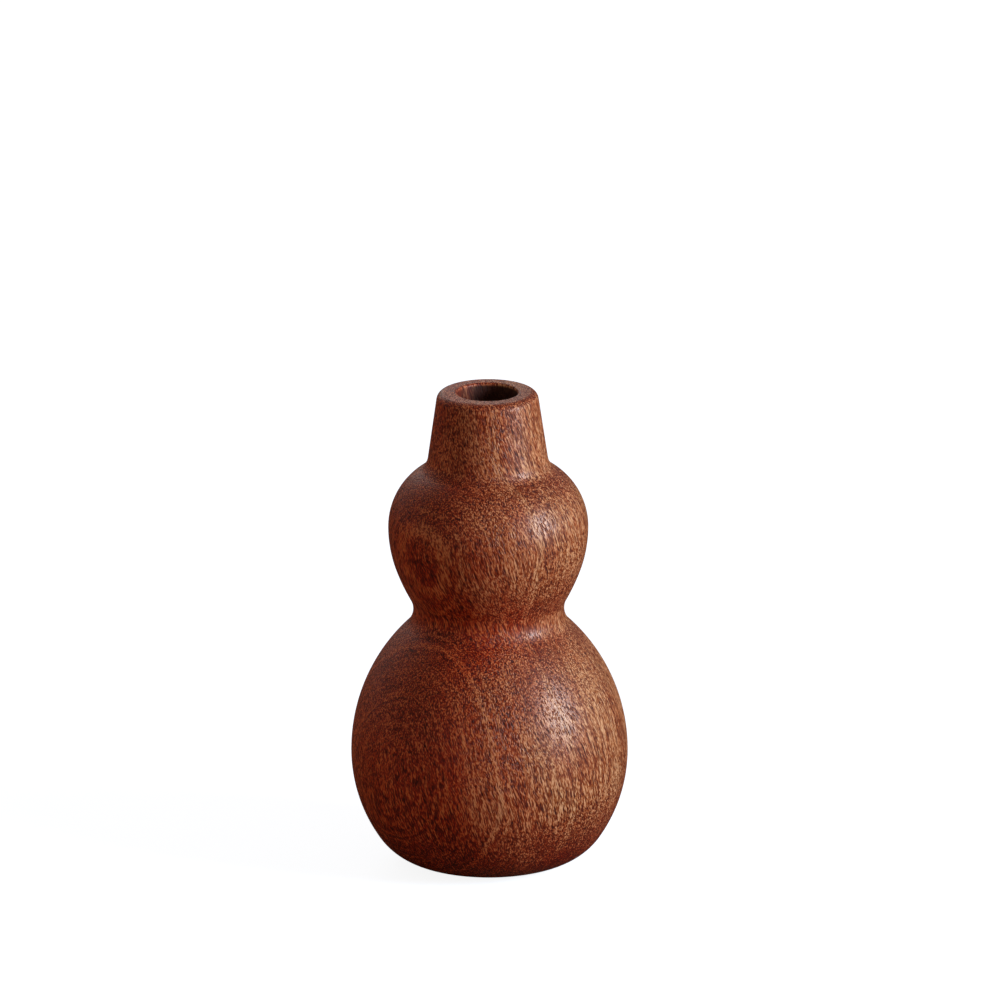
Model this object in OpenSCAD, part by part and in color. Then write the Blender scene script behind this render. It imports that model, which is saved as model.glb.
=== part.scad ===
// Gourd vase: two hollow wooden turnings joined at the waist, on a felt foot pad.
// The origin is the centre of the resting face, and +Z runs up the turning axis.

/* [Overall] */
// Height from the resting face to the lip
height = 200; // [188:1:260]
// Greatest diameter, across the lower bulb
belly_d = 113.5; // [94:0.5:140]

/* [Lower bulb] */
// Height of its widest point
belly_z = 47; // [40:0.5:60]
// Radius of the curve above the widest point
belly_upper_r = 74; // [66:0.5:90]
// Radius of the curve below the widest point
belly_lower_r = 62.5; // [52:0.5:76]
// Radius of the turn into the flat foot
heel_r = 25.5; // [16:0.5:30]

/* [Waist] */
// Radius of the hollow curve between the two bulbs
waist_r = 10; // [4:0.5:14]

/* [Upper bulb] */
// Greatest diameter of the upper bulb
bulb_d = 82; // [68:0.5:98]
// Height of its widest point
bulb_z = 142.5; // [136:0.5:156]
// Radius of the curve above the widest point
bulb_upper_r = 28.5; // [24:0.5:36]
// Radius of the curve just below the widest point
bulb_lower_r = 52; // [44:0.5:62]
// How far the side turns, in degrees, before it flattens
bulb_turn = 20; // [12:1:28]
// Radius of the flatter curve down to the waist
bulb_waist_r = 84; // [70:1:100]

/* [Neck and mouth] */
// Diameter of the neck carried up to the lip
lip_d = 41; // [34:0.5:50]
// Lean of the neck's side, in degrees
neck_lean = 8.3; // [4:0.1:14]
// Radius of the hollow curve below the neck
neck_r = 8; // [3:0.5:12]
// Round on the outer edge of the lip
lip_round = 3.5; // [1:0.5:4]
// Diameter of the bored mouth
mouth_d = 25; // [18:0.5:30]
// Round on the inner edge of the mouth
mouth_round = 1; // [0.5:0.5:1.5]

/* [Hollow] */
// Thickness of the walls
wall = 9; // [6:0.5:11]
// Thickness of the wood under the hollow
floor_t = 12; // [9:0.5:20]

/* [Waist joint] */
// Width of the glued shoulder round the spigot
shoulder_w = 8; // [5:0.5:10]
// Length of the spigot
spigot_l = 9; // [6:0.5:12]
// Thickness of the spigot's wall
spigot_t = 6; // [4:0.5:8]
// Bevel on the spigot's end
spigot_bevel = 1; // [0.5:0.5:2]
// Bevel round the mouth of the socket, which leads the spigot in
socket_bevel = 0.5; // [0.2:0.1:1]
// Gap for glue round the spigot and past its end
glue_gap = 0.1; // [0.05:0.05:0.3]

/* [Felt pad] */
// Diameter of the felt
felt_d = 39; // [30:0.5:44]
// Thickness of the felt
felt_t = 2.5; // [1.5:0.5:4]
// Depth of the recess that the felt is glued into
recess_depth = 1.8; // [0.8:0.1:3]
// Gap between the felt and the side of its recess
felt_gap = 0.5; // [0.2:0.1:1]

/* [Hidden] */
$fn = 144;
wood = "sienna";
felt = "dimgray";

// The outlines lie in the X-Y plane as radius and height, and are then turned about the axis.
foot_z = felt_t - recess_depth;
floor_z = foot_z + floor_t;
mouth_r = mouth_d / 2;
// How far the straight core of an outline lies inside its arcs
core_inset = 1;

// An arc is its centre, its radius and its end angles, from the lower end to the upper one.
// The point of an arc at an angle, with the arc moved in by inset
function arc_point(arc, angle, inset = 0) =
    arc[0] + (arc[1] - inset) * [cos(angle), sin(angle)];

// The lower end of the first arc and the upper end of each arc in a chain
function arc_ends(arcs, inset) = [
    arc_point(arcs[0], arcs[0][2], inset),
    for (arc = arcs) arc_point(arc, arc[3], inset)
];

// The direction from one point to another, in degrees
function heading(from, to) = atan2(to[1] - from[1], to[0] - from[0]);

// The crossing of two circles that lies farther from the axis, with c2 above c1
function outer_crossing(c1, r1, c2, r2) =
    let (
        gap = norm(c2 - c1),
        up = (c2 - c1) / gap,
        along = (r1 ^ 2 - r2 ^ 2 + gap ^ 2) / (2 * gap),
        across = sqrt(r1 ^ 2 - along ^ 2)
    )
    c1 + along * up + across * [up[1], -up[0]];

// The first point on the line from p along way that lies r from c
function line_crossing(p, way, c, r) =
    let (
        from_c = p - c,
        back = from_c * way
    )
    p - (back + sqrt(back ^ 2 - from_c * from_c + r ^ 2)) * way;

// Centres of the lower bulb's arcs
belly_upper_c = [belly_d / 2 - belly_upper_r, belly_z];
belly_lower_c = [belly_d / 2 - belly_lower_r, belly_z];
heel_z = foot_z + heel_r;
heel_reach = belly_lower_r - heel_r;
heel_c = [belly_lower_c[0] + sqrt(heel_reach ^ 2 - (belly_z - heel_z) ^ 2), heel_z];
heel_turn = heading(belly_lower_c, heel_c);

// Centres of the upper bulb's arcs
bulb_upper_c = [bulb_d / 2 - bulb_upper_r, bulb_z];
bulb_lower_c = [bulb_d / 2 - bulb_lower_r, bulb_z];
bulb_waist_c = bulb_lower_c - (bulb_waist_r - bulb_lower_r) * [cos(bulb_turn), -sin(bulb_turn)];

// The waist's hollow curve touches both bulbs, and the pieces part at its narrowest height
waist_c = outer_crossing(belly_upper_c, belly_upper_r + waist_r, bulb_waist_c, bulb_waist_r + waist_r);
waist_z = waist_c[1];

// The neck is a cone, and its hollow curve touches the cone and the upper bulb
neck_out = [cos(neck_lean), sin(neck_lean)];
neck_down = [sin(neck_lean), -cos(neck_lean)];
lip_corner = [lip_d / 2, height];
neck_c = line_crossing(lip_corner + neck_r * neck_out, neck_down, bulb_upper_c, bulb_upper_r + neck_r);
lip_c = lip_corner + lip_round * [tan(neck_lean) - 1 / cos(neck_lean), -1];

// The rounded sides of the bulbs and of the lip, each from its lower end up
belly_arcs = [
    [heel_c, heel_r, -90, heel_turn],
    [belly_lower_c, belly_lower_r, heel_turn, 0],
    [belly_upper_c, belly_upper_r, 0, heading(belly_upper_c, waist_c)]
];
bulb_arcs = [
    [bulb_waist_c, bulb_waist_r, heading(bulb_waist_c, waist_c), -bulb_turn],
    [bulb_lower_c, bulb_lower_r, -bulb_turn, 0],
    [bulb_upper_c, bulb_upper_r, 0, heading(bulb_upper_c, neck_c)]
];
lip_arc = [lip_c, lip_round, neck_lean, 90];

// The spigot is turned on the upper body and fits a socket in the lower one
spigot_r = waist_c[0] - waist_r - shoulder_w;
socket_r = spigot_r + glue_gap;
passage_r = spigot_r - spigot_t;
spigot_z = waist_z - spigot_l;

// Angle of an arc's point at height z, with the arc moved in by the wall
function wall_angle(c, r, z) = asin(max(-1, min(1, (z - c[1]) / (r - wall))));

// The hollows keep the sides' arcs and run on into the socket and the spigot
belly_hollow = [
    belly_arcs[0],
    belly_arcs[1],
    [belly_upper_c, belly_upper_r, 0, wall_angle(belly_upper_c, belly_upper_r, waist_z)]
];
bulb_hollow = [
    [bulb_waist_c, bulb_waist_r, wall_angle(bulb_waist_c, bulb_waist_r, spigot_z), -bulb_turn],
    bulb_arcs[1],
    [bulb_upper_c, bulb_upper_r, 0, 90]
];

// A rectangle from the axis out to radius r
module slab(r, low, high) {
    polygon([[0, low], [r, low], [r, high], [0, high]]);
}

// Fills each arc's circle between the heights of the arc's ends
module rounds(arcs, inset = 0) {
    for (arc = arcs) {
        intersection() {
            translate(arc[0]) circle(arc[1] - inset);
            slab(height, arc_point(arc, arc[2], inset)[1], arc_point(arc, arc[3], inset)[1]);
        }
    }
}

// Cuts a hollow curve about a centre that is a corner of the outline
module hollow_curve(c, r) {
    translate(c) circle(r);
}

// The hollow inside a chain of arcs, one wall in from it
module hollow(arcs) {
    ends = arc_ends(arcs, wall + core_inset);
    intersection() {
        polygon(concat([[0, ends[0][1]]], ends, [[0, ends[len(ends) - 1][1]]]));
        slab(height, 0, height);
    }
    rounds(arcs, wall);
}

// The lower bulb up to the joint at the waist
module belly_outline() {
    difference() {
        polygon(concat(
            [[0, foot_z], [heel_c[0], foot_z]],
            arc_ends(belly_arcs, core_inset),
            [waist_c, [0, waist_z]]
        ));
        hollow_curve(waist_c, waist_r);
    }
    rounds(belly_arcs);
}

// The upper bulb, neck and lip above the joint at the waist
module bulb_outline() {
    difference() {
        polygon(concat(
            [[0, waist_z], waist_c],
            arc_ends(bulb_arcs, core_inset),
            [neck_c, neck_c - neck_r * neck_out],
            arc_ends([lip_arc], 0),
            [[0, height]]
        ));
        hollow_curve(waist_c, waist_r);
        hollow_curve(neck_c, neck_r);
    }
    rounds(bulb_arcs);
    rounds([lip_arc]);
}

// The spigot with its bevelled end, rooted in the upper bulb
module spigot_outline() {
    polygon([
        [0, spigot_z],
        [spigot_r - spigot_bevel, spigot_z],
        [spigot_r, spigot_z + spigot_bevel],
        [spigot_r, bulb_z],
        [0, bulb_z]
    ]);
}

// The socket, down to where it breaks into the hollow, with its bevelled mouth
module socket_outline() {
    slab(socket_r, belly_z, waist_z);
    polygon([
        [0, waist_z - socket_bevel],
        [socket_r, waist_z - socket_bevel],
        [socket_r + socket_bevel, waist_z],
        [0, waist_z]
    ]);
}

// The bored mouth with its softened edge
module mouth_outline() {
    edge_c = [mouth_r + mouth_round, height - mouth_round];
    slab(mouth_r, bulb_z, height);
    difference() {
        slab(edge_c[0], edge_c[1], height);
        translate(edge_c) circle(mouth_round);
    }
}

// Upper bulb, neck and spigot, turned from one blank and hollowed from below
module upper_body() {
    color(wood)
    rotate_extrude()
    difference() {
        union() {
            bulb_outline();
            spigot_outline();
        }
        hollow(bulb_hollow);
        slab(passage_r, spigot_z, bulb_z);
        mouth_outline();
    }
}

// Lower bulb, hollowed through the socket in its top, with a recess under its foot
module lower_body() {
    color(wood)
    rotate_extrude()
    difference() {
        belly_outline();
        intersection() {
            hollow(belly_hollow);
            slab(belly_d, floor_z, waist_z);
        }
        socket_outline();
        slab(felt_d / 2 + felt_gap, foot_z, foot_z + recess_depth);
    }
}

// Felt disc glued into the recess, standing proud of the foot
module felt_pad() {
    color(felt)
    cylinder(h = felt_t, d = felt_d);
}

upper_body();
lower_body();
felt_pad();
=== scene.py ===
"""Gourd vase in turned, stained wood with a felt foot: meshes, materials, light and camera."""

import math

import bmesh
import bpy
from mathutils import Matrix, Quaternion, Vector, noise


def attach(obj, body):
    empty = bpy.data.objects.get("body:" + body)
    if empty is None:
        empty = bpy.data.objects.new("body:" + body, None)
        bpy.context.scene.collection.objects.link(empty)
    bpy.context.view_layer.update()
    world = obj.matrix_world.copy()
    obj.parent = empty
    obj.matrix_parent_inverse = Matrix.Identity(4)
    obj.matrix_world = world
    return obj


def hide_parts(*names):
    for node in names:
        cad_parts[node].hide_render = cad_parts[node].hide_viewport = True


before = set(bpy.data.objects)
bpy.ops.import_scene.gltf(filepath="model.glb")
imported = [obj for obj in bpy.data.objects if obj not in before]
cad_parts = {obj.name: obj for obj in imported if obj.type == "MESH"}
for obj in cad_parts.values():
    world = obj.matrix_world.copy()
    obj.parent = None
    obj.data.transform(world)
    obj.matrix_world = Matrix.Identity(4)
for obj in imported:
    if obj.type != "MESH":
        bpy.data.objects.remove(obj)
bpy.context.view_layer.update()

MM = 0.001

# Driving sizes in millimetres and degrees, the same as in the CAD source
HEIGHT = 200.0
BELLY_D, BELLY_Z = 113.5, 47.0
BELLY_UPPER_R, BELLY_LOWER_R, HEEL_R = 74.0, 62.5, 25.5
WAIST_R = 10.0
BULB_D, BULB_Z = 82.0, 142.5
BULB_UPPER_R, BULB_LOWER_R, BULB_WAIST_R = 28.5, 52.0, 84.0
# Angle below its widest point at which the upper bulb's side flattens
BULB_TURN = -20.0
NECK_LEAN, NECK_R = 8.3, 8.0
LIP_D, LIP_R = 41.0, 3.5
MOUTH_R, MOUTH_EDGE = 12.5, 1.0
WALL, FLOOR_T = 9.0, 12.0
SHOULDER_W = 8.0
SPIGOT_L, SPIGOT_T, SPIGOT_BEVEL = 9.0, 6.0, 1.0
SOCKET_BEVEL, GLUE_GAP = 0.5, 0.1
FELT_D, FELT_T, FELT_GAP, RECESS_DEPTH = 39.0, 2.5, 0.5, 1.8

# The meshes are turned in this many segments
WOOD_SEGMENTS, FELT_SEGMENTS = 320, 200
# The solids' facets lie this much inside the true circles
TRIM = 0.9996
# Edges that turn more than this stay sharp
CREASE = math.radians(24)
# Points nearer to each other than this are one point, in millimetres
SAME_POINT = 1e-3


def heading(a, b):
    """Direction from one point to another, in degrees."""
    return math.degrees(math.atan2(b[1] - a[1], b[0] - a[0]))


def polar(c, r, angle):
    """Point of a circle at an angle in degrees."""
    a = math.radians(angle)
    return (c[0] + r * math.cos(a), c[1] + r * math.sin(a))


def outer_crossing(low, low_r, high, high_r):
    """Crossing of two circles that lies farther from the axis, with high above low."""
    gap = math.dist(low, high)
    up = ((high[0] - low[0]) / gap, (high[1] - low[1]) / gap)
    along = (low_r**2 - high_r**2 + gap**2) / (2 * gap)
    across = math.sqrt(low_r**2 - along**2)
    return (low[0] + along * up[0] + across * up[1], low[1] + along * up[1] - across * up[0])


def line_crossing(p, way, c, r):
    """First point on the line from p along way that lies r from c."""
    from_c = (p[0] - c[0], p[1] - c[1])
    back = from_c[0] * way[0] + from_c[1] * way[1]
    reach = back + math.sqrt(back**2 - math.dist(p, c) ** 2 + r**2)
    return (p[0] - reach * way[0], p[1] - reach * way[1])


# Points are a radius and a height. These are the lower bulb's levels and centres
FOOT_Z = FELT_T - RECESS_DEPTH
FLOOR_Z = FOOT_Z + FLOOR_T
BELLY_UPPER_C = (BELLY_D / 2 - BELLY_UPPER_R, BELLY_Z)
BELLY_LOWER_C = (BELLY_D / 2 - BELLY_LOWER_R, BELLY_Z)
HEEL_Z = FOOT_Z + HEEL_R
HEEL_OUT = math.sqrt((BELLY_LOWER_R - HEEL_R) ** 2 - (BELLY_Z - HEEL_Z) ** 2)
HEEL_C = (BELLY_LOWER_C[0] + HEEL_OUT, HEEL_Z)
HEEL_TURN = heading(BELLY_LOWER_C, HEEL_C)

# Centres of the upper bulb, and of the waist's hollow curve, which touches both bulbs
BULB_UPPER_C = (BULB_D / 2 - BULB_UPPER_R, BULB_Z)
BULB_LOWER_C = (BULB_D / 2 - BULB_LOWER_R, BULB_Z)
BULB_WAIST_C = polar(BULB_LOWER_C, BULB_LOWER_R - BULB_WAIST_R, BULB_TURN)
WAIST_C = outer_crossing(BELLY_UPPER_C, BELLY_UPPER_R + WAIST_R, BULB_WAIST_C, BULB_WAIST_R + WAIST_R)
WAIST_Z = WAIST_C[1]

# The neck is a cone, and its hollow curve touches the cone and the upper bulb
LIP_CORNER = (LIP_D / 2, HEIGHT)
NECK_DOWN = polar((0, 0), 1, NECK_LEAN - 90)
NECK_C = line_crossing(polar(LIP_CORNER, NECK_R, NECK_LEAN), NECK_DOWN, BULB_UPPER_C, BULB_UPPER_R + NECK_R)
LEAN = math.radians(NECK_LEAN)
LIP_C = (LIP_D / 2 + LIP_R * (math.tan(LEAN) - 1 / math.cos(LEAN)), HEIGHT - LIP_R)

# The joint at the waist, and the recess for the felt
SPIGOT_R = WAIST_C[0] - WAIST_R - SHOULDER_W
SPIGOT_Z = WAIST_Z - SPIGOT_L
SOCKET_R = SPIGOT_R + GLUE_GAP
PASSAGE_R = SPIGOT_R - SPIGOT_T
FELT_R = FELT_D / 2
RECESS_R, RECESS_Z = FELT_R + FELT_GAP, FELT_T


def arc(c, r, start, end, step):
    """Points of an arc from one angle to another, in degrees, about step millimetres apart."""
    n = max(2, math.ceil(abs(math.radians(end - start)) * r / step))
    return [polar(c, r, start + (end - start) * i / n) for i in range(n + 1)]


def line(a, b, step):
    """Points of a straight run, at most step millimetres apart."""
    n = max(1, math.ceil(math.dist(a, b) / step))
    return [(a[0] + (b[0] - a[0]) * i / n, a[1] + (b[1] - a[1]) * i / n) for i in range(n + 1)]


def chain(*runs):
    """Joins runs of points, and drops a point that repeats the one before it."""
    out = []
    for run in runs:
        for p in run:
            if not out or math.dist(p, out[-1]) > SAME_POINT:
                out.append(p)
    return out


def angle_at(c, r, z):
    """Angle of a circle's outer point at a height, in degrees."""
    return math.degrees(math.asin((z - c[1]) / r))


def radius_at(c, r, z):
    """Radius of a circle's outer point at a height."""
    return c[0] + math.sqrt(r * r - (z - c[1]) ** 2)


def lower_profile():
    """From the middle of the recess, round the outside and through the socket to the middle of the floor.

    Gives the points and how many of them are the outside. Each run ends with its step, which is
    shorter where the wood turns tightly.
    """
    inner_top = BELLY_UPPER_R - WALL
    socket_low = BELLY_UPPER_C[1] + math.sqrt(inner_top**2 - (SOCKET_R - BELLY_UPPER_C[0]) ** 2)
    belly_turn = heading(BELLY_UPPER_C, WAIST_C)
    arris = 0.4
    shell = chain(
        line((0, RECESS_Z), (RECESS_R, RECESS_Z), 4),
        line((RECESS_R, RECESS_Z), (RECESS_R, FOOT_Z + arris), 0.9),
        arc((RECESS_R + arris, FOOT_Z + arris), arris, 180, 270, 0.2),
        line((RECESS_R + arris, FOOT_Z), (HEEL_C[0], FOOT_Z), 1.2),
        arc(HEEL_C, HEEL_R, -90, HEEL_TURN, 1.1),
        arc(BELLY_LOWER_C, BELLY_LOWER_R, HEEL_TURN, 0, 1.3),
        arc(BELLY_UPPER_C, BELLY_UPPER_R, 0, belly_turn, 1.3),
        arc(WAIST_C, WAIST_R, belly_turn + 180, 180, 0.7),
    )
    inside = chain(
        line((WAIST_C[0] - WAIST_R, WAIST_Z), (SOCKET_R + SOCKET_BEVEL, WAIST_Z), 2),
        line((SOCKET_R + SOCKET_BEVEL, WAIST_Z), (SOCKET_R, WAIST_Z - SOCKET_BEVEL), 1),
        line((SOCKET_R, WAIST_Z - SOCKET_BEVEL), (SOCKET_R, socket_low), 2),
        arc(BELLY_UPPER_C, inner_top, angle_at(BELLY_UPPER_C, inner_top, socket_low), 0, 2),
        arc(BELLY_LOWER_C, BELLY_LOWER_R - WALL, 0, HEEL_TURN, 2),
        arc(HEEL_C, HEEL_R - WALL, HEEL_TURN, angle_at(HEEL_C, HEEL_R - WALL, FLOOR_Z), 1.5),
        line((radius_at(HEEL_C, HEEL_R - WALL, FLOOR_Z), FLOOR_Z), (0, FLOOR_Z), 4),
    )
    return chain(shell, inside), len(shell)


def upper_profile():
    """From the joint, round the outside to the lip, and back through the mouth to the spigot.

    Gives the points and how many of them are the outside, as lower_profile does.
    """
    inner = BULB_WAIST_R - WALL
    low_z = BULB_WAIST_C[1] - math.sqrt(inner**2 - (PASSAGE_R - BULB_WAIST_C[0]) ** 2)
    neck_turn = heading(BULB_UPPER_C, NECK_C)
    waist_turn = heading(BULB_WAIST_C, WAIST_C)
    edge_r = MOUTH_R + MOUTH_EDGE
    ceiling_z = BULB_UPPER_C[1] + BULB_UPPER_R - WALL
    shell = chain(
        arc(WAIST_C, WAIST_R, 180, waist_turn + 180, 0.7),
        arc(BULB_WAIST_C, BULB_WAIST_R, waist_turn, BULB_TURN, 1.1),
        arc(BULB_LOWER_C, BULB_LOWER_R, BULB_TURN, 0, 1.1),
        arc(BULB_UPPER_C, BULB_UPPER_R, 0, neck_turn, 1),
        arc(NECK_C, NECK_R, neck_turn + 180, NECK_LEAN + 180, 0.6),
        line(polar(NECK_C, -NECK_R, NECK_LEAN), polar(LIP_C, LIP_R, NECK_LEAN), 1.3),
        arc(LIP_C, LIP_R, NECK_LEAN, 90, 0.45),
        line((LIP_C[0], HEIGHT), (edge_r, HEIGHT), 0.8),
        arc((edge_r, HEIGHT - MOUTH_EDGE), MOUTH_EDGE, 90, 180, 0.25),
    )
    inside = chain(
        line((MOUTH_R, HEIGHT - MOUTH_EDGE), (MOUTH_R, ceiling_z), 1.2),
        arc(BULB_UPPER_C, BULB_UPPER_R - WALL, 90, 0, 1.6),
        arc(BULB_LOWER_C, BULB_LOWER_R - WALL, 0, BULB_TURN, 1.6),
        arc(BULB_WAIST_C, inner, BULB_TURN, angle_at(BULB_WAIST_C, inner, low_z), 1.6),
        line((PASSAGE_R, low_z), (PASSAGE_R, SPIGOT_Z), 1.6),
        line((PASSAGE_R, SPIGOT_Z), (SPIGOT_R - SPIGOT_BEVEL, SPIGOT_Z), 2),
        line((SPIGOT_R - SPIGOT_BEVEL, SPIGOT_Z), (SPIGOT_R, SPIGOT_Z + SPIGOT_BEVEL), 1),
        line((SPIGOT_R, SPIGOT_Z + SPIGOT_BEVEL), (SPIGOT_R, WAIST_Z), 2),
        line((SPIGOT_R, WAIST_Z), (WAIST_C[0] - WAIST_R, WAIST_Z), 2),
    )
    # The last point is the first one again, and a closed profile holds it once
    return chain(shell, inside)[:-1], len(shell)


def felt_profile():
    """A disc with softly rounded edges."""
    edge = 0.8
    return chain(
        line((0, 0), (FELT_R - edge, 0), 1.2),
        arc((FELT_R - edge, edge), edge, -90, 0, 0.25),
        line((FELT_R, edge), (FELT_R, FELT_T - edge), 0.6),
        arc((FELT_R - edge, FELT_T - edge), edge, 0, 90, 0.25),
        line((FELT_R - edge, FELT_T), (0, FELT_T), 1.2),
    )


def placed(name, bm):
    """An object of a finished bmesh, linked to the scene."""
    mesh = bpy.data.meshes.new(name)
    bm.to_mesh(mesh)
    bm.free()
    piece = bpy.data.objects.new(name, mesh)
    bpy.context.scene.collection.objects.link(piece)
    return piece


def turned_ring(bm, r, z, segments):
    """Vertices of a point that is turned about the axis. A point on the axis stays one vertex."""
    if r < SAME_POINT:
        return [bm.verts.new((0, 0, z * MM))]
    angles = (2 * math.pi * k / segments for k in range(segments))
    return [bm.verts.new((r * math.cos(a) * MM * TRIM, r * math.sin(a) * MM * TRIM, z * MM)) for a in angles]


def ring_corners(ring, turns, i):
    """A face's corners on one ring: each vertex, how many segments it has turned, and its profile point."""
    if len(ring) == 1:
        return [(ring[0], min(turns) + 0.5, i)]
    return [(ring[turn % len(ring)], turn, i) for turn in turns]


# The UV map's margin, the outer bands' spacing and height, and the inner band's start and height
UV_MARGIN = 0.01
BAND_PITCH, BAND_HEIGHT = 0.465, 0.445
INNER_LOW, INNER_HEIGHT = 0.94, 0.05


def uv_place(turn, half, walked, outside, whole):
    """Place on the UV map. Half is the outer half turn, 0 or 1, or None inside.

    Turn is the share of the band's own turn, walked the length along the profile to this point,
    and outside and whole are the lengths of the outer profile and of all of it.
    """
    if half is None:
        v = INNER_LOW + INNER_HEIGHT * (walked - outside) / (whole - outside)
    else:
        v = UV_MARGIN + BAND_PITCH * half + BAND_HEIGHT * walked / outside
    return (UV_MARGIN + (1 - 2 * UV_MARGIN) * turn, v)


def turned(name, profile, segments, closed, shell=0):
    """Turns a profile about the Z axis. Its first shell points are the outside.

    A piece with a shell gets a UV map: the outside in two bands, one for each half turn, and the
    inside in a narrow one.
    """
    bm = bmesh.new()
    rings = [turned_ring(bm, r, z, segments) for r, z in profile]
    run = [0.0]
    for a, b in zip(profile, profile[1:] + profile[:1]):
        run.append(run[-1] + math.dist(a, b))
    uv = bm.loops.layers.uv.new("OFBake") if shell else None
    half_turn = segments // 2
    for i in range(len(rings) - (0 if closed else 1)):
        low, high = rings[i], rings[(i + 1) % len(rings)]
        for k in range(segments):
            corners = ring_corners(low, (k, k + 1), i) + ring_corners(high, (k + 1, k), i + 1)
            face = bm.faces.new([vertex for vertex, _, _ in corners])
            face.smooth = True
            if not uv:
                continue
            for loop, (_, turn, j) in zip(face.loops, corners):
                if i < shell - 1:
                    half = k // half_turn
                    share = (turn - half * half_turn) / half_turn
                else:
                    half = None
                    share = turn / segments
                loop[uv].uv = uv_place(share, half, run[j], run[shell - 1], run[-1])
    bmesh.ops.recalc_face_normals(bm, faces=bm.faces)
    for edge in bm.edges:
        if len(edge.link_faces) == 2 and edge.calc_face_angle() > CREASE:
            edge.smooth = False
    return placed(name, bm)


# Materials
class Nodes:
    """Fills a node tree with short calls. A socket or a plain value goes into each input."""

    def __init__(self, tree):
        self.tree = tree
        tree.nodes.clear()

    def put(self, node, key, value):
        if isinstance(value, bpy.types.NodeSocket):
            self.tree.links.new(value, node.inputs[key])
        else:
            node.inputs[key].default_value = value

    def add(self, kind, inputs=None, **settings):
        node = self.tree.nodes.new(kind)
        for key, value in settings.items():
            setattr(node, key, value)
        for key, value in (inputs or {}).items():
            self.put(node, key, value)
        return node

    def first(self, kind, inputs=None, **settings):
        """Adds a node and gives its first output."""
        return self.add(kind, inputs, **settings).outputs[0]

    def math(self, operation, *values, clamp=False):
        return self.first("ShaderNodeMath", dict(enumerate(values)), operation=operation, use_clamp=clamp)

    def vector(self, operation, *values, out=0):
        return self.add("ShaderNodeVectorMath", dict(enumerate(values)), operation=operation).outputs[out]

    def scaled(self, vector, factor):
        return self.first("ShaderNodeVectorMath", {"Vector": vector, "Scale": factor}, operation="SCALE")

    def join(self, x, y, z):
        return self.first("ShaderNodeCombineXYZ", {0: x, 1: y, 2: z})

    def split(self, vector):
        return self.add("ShaderNodeSeparateXYZ", {0: vector}).outputs

    def swing(self, value, weight):
        """A value about 0.5, brought to 0 and weighted."""
        return self.math("MULTIPLY", self.math("SUBTRACT", value, 0.5), weight)

    def noise(self, vector, scale=1.0, detail=2.0, rough=0.5, out="Fac"):
        inputs = {"Vector": vector, "Scale": scale, "Detail": detail, "Roughness": rough}
        return self.add("ShaderNodeTexNoise", inputs).outputs[out]

    def noise_1d(self, w, detail, rough):
        inputs = {"W": w, "Scale": 1.0, "Detail": detail, "Roughness": rough}
        return self.add("ShaderNodeTexNoise", inputs, noise_dimensions="1D").outputs["Fac"]

    def cells(self, vector, out):
        return self.add("ShaderNodeTexVoronoi", {"Vector": vector, "Scale": 1.0}).outputs[out]

    def ramp(self, value, low, high, to_low=0.0, to_high=1.0, smooth=True):
        inputs = {"Value": value, 1: low, 2: high, 3: to_low, 4: to_high}
        kind = "SMOOTHSTEP" if smooth else "LINEAR"
        return self.first("ShaderNodeMapRange", inputs, interpolation_type=kind)

    def colours(self, value, stops):
        node = self.add("ShaderNodeValToRGB", {0: value})
        band = node.color_ramp
        while len(band.elements) < len(stops):
            band.elements.new(0.5)
        for element, (place, colour) in zip(band.elements, stops):
            element.position = place
            element.color = (*colour, 1)
        return node.outputs[0]

    def mix(self, factor, a, b, blend="MIX"):
        inputs = {0: factor, 6: a, 7: b}
        return self.add("ShaderNodeMix", inputs, data_type="RGBA", blend_type=blend).outputs[2]

    def finish(self, inputs):
        """Ends a material in a Principled shader with these inputs."""
        self.add("ShaderNodeOutputMaterial", {0: self.first("ShaderNodeBsdfPrincipled", inputs)})


def new_material(name):
    """A material, and its empty node tree ready to fill."""
    material = bpy.data.materials.new(name)
    material.use_nodes = True
    return material, Nodes(material.node_tree)


def srgb(r, g, b):
    """A colour given as 0 to 255 on screen, as the linear value that a shader takes."""
    return tuple((v / 255 / 12.92) if v <= 10 else ((v / 255 + 0.055) / 1.055) ** 2.4 for v in (r, g, b))


# The pith stands behind the vase on the right, so the rings lie nearly flat across the left front
PITH_AWAY = 230.0
PITH_TURN = math.radians(-47)
PITH = (-math.sin(PITH_TURN) * PITH_AWAY, math.cos(PITH_TURN) * PITH_AWAY, 0.0)
# The direction of the fibres, for finding the end grain
FIBRE_WAY = (-0.24, -0.06, 0.97)
HALF = (0.5, 0.5, 0.5)

# The wood's colours from its darkest tone, 0, to its lightest, 1, in linear red, green and blue
# Maroon also gives the painted shade on the left its colour
MAROON = (
    (0.0, (0.1, 0.001, 0.0002)),
    (0.1, (0.15, 0.002, 0.0003)),
    (0.45, (0.4, 0.02, 0.003)),
    (0.8, (0.64, 0.115, 0.03)),
    (1.0, (0.75, 0.2, 0.07)),
)
TAN = (
    (0.0, (0.12, 0.014, 0.003)),
    (0.1, (0.17, 0.024, 0.006)),
    (0.45, (0.36, 0.108, 0.029)),
    (0.8, (0.66, 0.33, 0.17)),
    (1.0, (0.8, 0.48, 0.28)),
)
# A pore multiplies the wood's colour by this
PORE_SHADE = (0.42, 0.22, 0.12, 1)
# Painted shade: the near black of the mouth's bore, where little light reaches
BORE_SHADE_COLOUR = (0.03, 0.001, 0.001, 1)
# Height of the middle of the painted shade patch, a maroon one, near the waist
WAIST_SHADE_Z = 107.0
FELT_COLOURS = ((0.3, srgb(52, 48, 45)), (0.5, srgb(82, 76, 71)), (0.72, srgb(118, 110, 103)))


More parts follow.
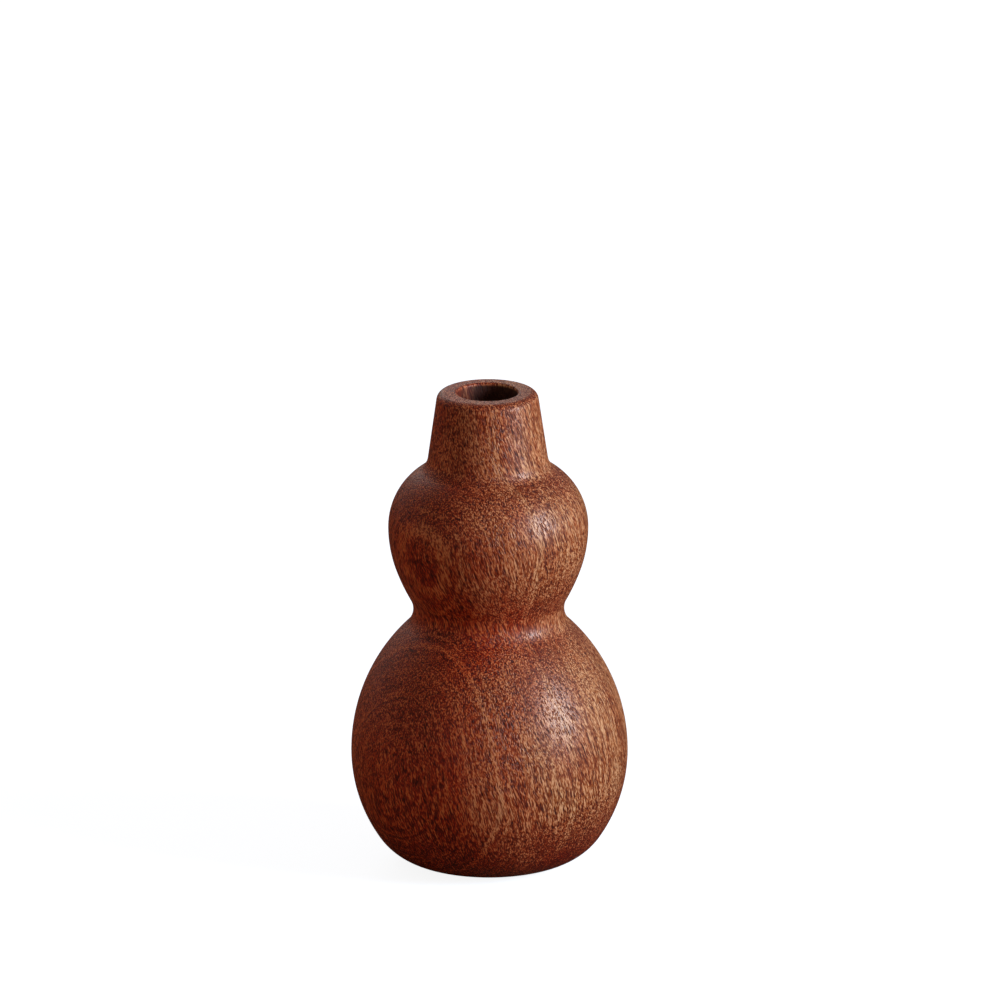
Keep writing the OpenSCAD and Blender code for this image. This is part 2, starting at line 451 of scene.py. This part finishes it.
def wandering(m, place):
    """Moves places sideways by a slow drift and a finer tremble, so that the grain wanders."""
    moved = place
    for scale, detail, reach in ((0.013, 1.0, 16.0), (0.07, 2.0, 2.4)):
        move = m.vector("SUBTRACT", m.noise(place, scale, detail, out="Color"), HALF)
        moved = m.vector("ADD", moved, m.vector("MULTIPLY", move, (reach, reach, 0.0)))
    return moved


def fibre_grid(m, x, y, z):
    """Gives along, which makes a grid of cells of a width and a length that lie along the fibres."""
    # The fibres lean to the left and a little to the front as they rise, in a slow wave
    wave = m.math("MULTIPLY", m.math("SINE", m.math("MULTIPLY", m.math("SUBTRACT", z, 40.0), 0.0462)), 1.3)
    across = m.math("ADD", x, m.math("ADD", m.math("MULTIPLY", z, 0.25), wave))
    outward = m.math("MULTIPLY_ADD", z, 0.06, y)

    def along(width, length, shift=0.0):
        return m.join(
            m.math("MULTIPLY_ADD", across, 1 / width, shift),
            m.math("MULTIPLY", outward, 1 / width),
            m.math("MULTIPLY", z, 1 / length),
        )

    return along


def growth_rings(m, depth):
    """The rings' tone, the slow change from ring to ring, and the thin dark lines that close them."""
    ring = m.noise_1d(m.math("MULTIPLY", depth, 0.3), 2.0, 0.6)
    broad = m.noise_1d(m.math("MULTIPLY", depth, 0.07), 1.0, 0.5)
    # The lines' spacing varies
    turn = m.math("ADD", m.math("MULTIPLY", depth, 0.4), m.math("MULTIPLY", broad, 5.0))
    wave = m.math("ABSOLUTE", m.math("MULTIPLY_ADD", m.math("FRACT", turn), 2.0, -1.0))
    closing = m.math("MULTIPLY", m.ramp(wave, 0.5, 1.0), m.ramp(ring, 0.35, 0.65))
    return ring, broad, closing


def pores(m, grid, size):
    """Open pores, 1 in a pore and 0 outside: one in each cell of the grid, each of its own size."""
    own = m.first("ShaderNodeSeparateColor", {0: m.cells(grid, "Color")})
    reach = m.math("MULTIPLY", m.ramp(own, 0.0, 1.0, 0.5, 1.25, smooth=False), size)
    away = m.math("DIVIDE", m.cells(grid, "Distance"), reach)
    return m.math("SUBTRACT", 1.0, m.ramp(away, 0.65, 1.1), clamp=True)


def bore(m, place):
    """1 within the mouth's radius below its rim, else 0, and painted shade there: dark in the bore, least on
    the left, where painted light falls in.
    """
    x, _, z = m.split(place)
    radius = m.vector("LENGTH", m.vector("MULTIPLY", place, (1.0, 1.0, 0.0)), out=1)
    inside = m.math(
        "MULTIPLY",
        m.ramp(radius, MOUTH_R + 0.8, MOUTH_R + 0.1),
        m.ramp(z, HEIGHT - 0.3, HEIGHT - 1.6),
    )
    return inside, m.math("MULTIPLY", inside, m.ramp(x, -8.5, -4.5, 0.6, 0.94))


def wood(name):
    """Turned and stained wood. Places are in millimetres, in the vase's own frame."""
    material, m = new_material(name)
    here = m.add("ShaderNodeTexCoord")
    place = m.scaled(here.outputs["Object"], 1 / MM)
    x, y, z = m.split(wandering(m, place))
    along = fibre_grid(m, x, y, z)
    depth = m.vector("DISTANCE", m.join(x, y, 0.0), PITH, out=1)
    ring, broad, closing = growth_rings(m, depth)
    cloud = m.noise(along(17.0, 50.0))
    strand = m.noise(along(1.1, 20.0, 3.0), detail=1.0)
    fibre = m.noise(along(0.62, 6.5), rough=0.55)
    thread = m.noise(along(0.42, 1.9, 5.0), detail=1.0)
    large = pores(m, along(0.95, 7.5), 0.42)
    small = pores(m, along(0.7, 4.0, 7.3), 0.38)
    pore = m.math("MAXIMUM", large, m.math("MULTIPLY", small, 0.95))

    # Masks for the end grain on the shoulders, the right, the foot and the outer rings. Darkening by the end
    # grain is partly real stain and partly painted shade; on the right and at the foot it is painted shade
    facing = m.vector("DOT_PRODUCT", here.outputs["Normal"], FIBRE_WAY, out=1)
    end = m.ramp(m.math("ABSOLUTE", facing), 0.25, 0.9)
    right = m.ramp(x, 0.0, 35.0)
    foot = m.ramp(z, 42.0, 8.0)
    outer = m.ramp(depth, PITH_AWAY + 26, PITH_AWAY + 54, 0.0, 0.25)

    # Tone, 0 dark to 1 light. End grain is darker: partly it drinks more stain, partly it is painted shade on
    # the shoulders, with more painted shade on the right shoulders
    tone = m.math("SUBTRACT", 0.68, m.math("MULTIPLY", end, m.math("MULTIPLY_ADD", right, 0.34, 0.27)))
    fine = m.math("ADD", m.swing(fibre, 2.3), m.swing(thread, 3.2))
    gain = m.math("MULTIPLY_ADD", end, 0.8, m.ramp(z, 55.0, 30.0, 1.0, 1.3))
    tone = m.math("MULTIPLY_ADD", fine, gain, tone)
    for part, weight in ((strand, m.math("MULTIPLY_ADD", end, -1.1, 1.3)), (broad, 0.4), (cloud, 0.6)):
        tone = m.math("ADD", tone, m.swing(part, weight))
    # The rings show best in the outer wood, where they lie flat to the surface
    rings = m.math("ADD", m.swing(ring, 0.9), m.math("MULTIPLY", closing, -0.4))
    strong = m.math("MULTIPLY_ADD", outer, m.ramp(z, 80.0, 120.0, 1.2, 4.5), 1.0)
    tone = m.math("MULTIPLY_ADD", rings, strong, tone)
    # Painted shade: darker low on the foot, most on the left
    tone = m.math("SUBTRACT", tone, m.math("MULTIPLY", foot, m.ramp(x, 10.0, -30.0, 0.3, 0.42)))
    tone = m.math("MULTIPLY_ADD", tone, 0.7, 0.1)

    # Side, 0 maroon to 1 tan. The ramp along x is painted shade, maroon and darker on the left, where shade
    # falls; the outer rings are real maroon
    side = m.math("SUBTRACT", m.ramp(x, -50.0, 50.0, 0.0, 0.97), outer)
    # End grain turns more maroon, partly as real stain and partly as painted shade; the right shoulders and
    # the foot turn more maroon as painted shade
    end_grain_and_shoulder_shade = m.math("MULTIPLY", end, m.math("MULTIPLY_ADD", right, 0.35, 0.15))
    side = m.math("SUBTRACT", side, m.math("MULTIPLY_ADD", foot, 0.5, end_grain_and_shoulder_shade))
    # Painted shade: a maroon patch on the left of the waist, in its crease
    from_waist_shade = m.math("ABSOLUTE", m.math("SUBTRACT", z, WAIST_SHADE_Z))
    patch = m.math("MULTIPLY", m.ramp(from_waist_shade, 22.0, 6.0), m.ramp(x, 22.0, 0.0))
    side = m.math("MULTIPLY_ADD", patch, -0.35, side)
    side = m.math("ADD", side, m.swing(cloud, 0.95))
    side = m.math("ADD", side, m.swing(ring, 0.35), clamp=True)

    base = m.mix(side, m.colours(tone, MAROON), m.colours(tone, TAN))
    base = m.mix(m.math("MULTIPLY", pore, 0.95), base, m.mix(1.0, base, PORE_SHADE, "MULTIPLY"))
    # Painted shade in the mouth's bore, with painted light on its left wall
    in_bore, bore_shade = bore(m, place)
    base = m.mix(bore_shade, base, BORE_SHADE_COLOUR)
    raw = m.math("MULTIPLY", m.math("MAXIMUM", pore, in_bore), 0.25)
    rough = m.math("ADD", m.ramp(fibre, 0.3, 0.7, 0.43, 0.35), raw)
    height = m.math("SUBTRACT", m.math("MULTIPLY", thread, 0.5), pore)
    bump = m.first("ShaderNodeBump", {"Strength": 0.5, "Distance": 0.0002, "Height": height})
    m.finish({"Base Color": base, "Roughness": rough, "Normal": bump, "Specular IOR Level": 0.6})
    return material


def felt(name):
    """Dark felt of curled hairs. Places are in millimetres."""
    material, m = new_material(name)
    place = m.scaled(m.add("ShaderNodeTexCoord").outputs["Object"], 1 / MM)
    curl = m.vector("SUBTRACT", m.noise(place, 0.5, out="Color"), HALF)
    hairs = m.noise(m.vector("ADD", place, m.scaled(curl, 3.0)), 2.6, 4.0, 0.7)
    tone = m.math("ADD", m.math("MULTIPLY", hairs, 0.75), m.math("MULTIPLY", m.noise(place, 0.2), 0.25))
    m.finish({
        "Base Color": m.colours(tone, FELT_COLOURS),
        "Roughness": m.ramp(hairs, 0.3, 0.7, 0.86, 0.98),
        "Normal": m.first("ShaderNodeBump", {"Strength": 0.8, "Distance": 0.00025, "Height": hairs}),
        "Specular IOR Level": 0.2,
        "Sheen Weight": 0.35,
        "Sheen Roughness": 0.5,
    })
    return material


# Pieces
lower_points, lower_shell = lower_profile()
upper_points, upper_shell = upper_profile()
lower = turned("lower_bulb", lower_points, WOOD_SEGMENTS, False, lower_shell)
upper = turned("upper_bulb", upper_points, WOOD_SEGMENTS, True, upper_shell)
pad = turned("felt_foot", felt_profile(), FELT_SEGMENTS, False)

# The felt's upper half sinks by nothing to twice this many millimetres
WAVE_HEIGHT = 0.06
WAVES_PER_METRE = 900
for vertex in pad.data.vertices:
    if vertex.co.z > FELT_T / 2 * MM:
        vertex.co.z -= WAVE_HEIGHT * MM * (1 + noise.noise(vertex.co * WAVES_PER_METRE))

stained_wood = wood("stained_wood")
for piece, node, slot, material in (
    (upper, "upper_body", "wood_upper", stained_wood),
    (lower, "lower_body", "wood_lower", stained_wood),
    (pad, "felt_pad", "felt", felt("felt_dark")),
):
    piece.data.materials.append(material)
    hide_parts(node)
    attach(piece, "root")


# Floor, light and camera
def floor_material(name):
    """White to the camera, with the vase's shadow, and dim and warm to all other rays."""
    material, m = new_material(name)
    path = m.add("ShaderNodeLightPath")
    seen = m.math("MAXIMUM", path.outputs["Is Camera Ray"], path.outputs["Is Transmission Ray"])
    shown = m.first("ShaderNodeAddShader", {
        0: m.first("ShaderNodeBsdfDiffuse", {"Color": (0.42, 0.55, 0.8, 1)}),
        1: m.first("ShaderNodeEmission", {"Color": (1, 1, 1, 1), "Strength": 0.88}),
    })
    bounce = m.first("ShaderNodeBsdfDiffuse", {"Color": (0.2, 0.11, 0.08, 1)})
    both = m.first("ShaderNodeMixShader", {0: seen, 1: bounce, 2: shown})
    m.add("ShaderNodeOutputMaterial", {0: both})
    return material


def room(name):
    """White to the camera, a pale wall behind the vase in its gloss, and warm light for the rest."""
    world = bpy.data.worlds.new(name)
    world.use_nodes = True
    m = Nodes(world.node_tree)
    x, y, z = m.split(m.add("ShaderNodeTexCoord").outputs["Generated"])
    ray = m.add("ShaderNodeLightPath")
    # Most of the light comes from the left and little from above
    low_share = m.ramp(z, 0.0, 0.9, 0.46, 0.12, smooth=False)
    fill = m.math("MULTIPLY", low_share, m.math("MULTIPLY_ADD", x, -0.5, 1.0))
    warm = m.first("ShaderNodeBackground", {"Color": (1.0, 0.76, 0.52, 1), "Strength": fill})
    wall = m.ramp(y, -0.1, 0.9, 0.01, 0.3, smooth=False)
    mirrored = m.first("ShaderNodeBackground", {"Color": (1.0, 0.84, 0.74, 1), "Strength": wall})
    lit = m.first("ShaderNodeMixShader", {0: ray.outputs["Is Glossy Ray"], 1: warm, 2: mirrored})
    white = m.first("ShaderNodeBackground", {"Color": (1, 1, 1, 1), "Strength": 1.0})
    seen = m.first("ShaderNodeMixShader", {0: ray.outputs["Is Camera Ray"], 1: lit, 2: white})
    m.add("ShaderNodeOutputWorld", {0: seen})
    return world


def lamp(name, azimuth, elevation, distance, size, power, colour=(1, 1, 1), shine=1.0):
    """An area lamp aimed at the vase's middle. Azimuth 0 is the camera's side, and it turns towards +X."""
    a, e = math.radians(azimuth), math.radians(elevation)
    way = Vector((math.sin(a) * math.cos(e), -math.cos(a) * math.cos(e), math.sin(e)))
    data = bpy.data.lights.new(name, "AREA")
    data.shape = "RECTANGLE"
    data.size, data.size_y = size
    data.energy = power
    data.color = colour
    data.specular_factor = shine
    light = bpy.data.objects.new(name, data)
    bpy.context.scene.collection.objects.link(light)
    light.location = Vector((0, 0, HEIGHT / 2 * MM)) + way * distance
    light.rotation_mode = "QUATERNION"
    light.rotation_quaternion = way.to_track_quat("Z", "Y")


# The floor's radius in metres, which reaches far past the frame
FLOOR_REACH, FLOOR_SIDES = 14, 96
floor_disc = bmesh.new()
bmesh.ops.create_circle(floor_disc, cap_ends=True, segments=FLOOR_SIDES, radius=FLOOR_REACH)
floor = placed("floor", floor_disc)
floor.data.materials.append(floor_material("pale_floor"))
bpy.context.scene.world = room("room")
lamp("key_window", 68, 18.5, 1.6, (0.45, 0.65), 20.5)
lamp("back_window", -165, 30, 1.8, (1.0, 1.0), 4.0, (1.0, 0.93, 0.86), 0.05)

# The photograph's side in pixels, and the size of one of its pixels at the vase
FRAME = 1000
PX = 0.4092 * MM
# The photograph's column that the vase's axis is on, and the height on the axis at mid-frame
AXIS_COLUMN, AIM_Z = 488.1, 153.675
ELEVATION, ROLL = math.radians(16.99), math.radians(-0.32)
CAMERA_AWAY = 12.0
SENSOR = 36

camera_data = bpy.data.cameras.new("camera")
camera_data.sensor_width = SENSOR
camera_data.lens = SENSOR * CAMERA_AWAY / (FRAME * PX)
camera_data.clip_start, camera_data.clip_end = 0.1, 80
camera = bpy.data.objects.new("camera", camera_data)
bpy.context.scene.collection.objects.link(camera)
aim = Vector(((FRAME / 2 - AXIS_COLUMN) * PX, 0, AIM_Z * MM))
back = Vector((0, -math.cos(ELEVATION), math.sin(ELEVATION)))
camera.location = aim + back * CAMERA_AWAY
camera.rotation_mode = "QUATERNION"
camera.rotation_quaternion = back.to_track_quat("Z", "Y") @ Quaternion((0, 0, 1), ROLL)
bpy.context.scene.camera = camera

bpy.context.scene.view_settings.view_transform = "Standard"
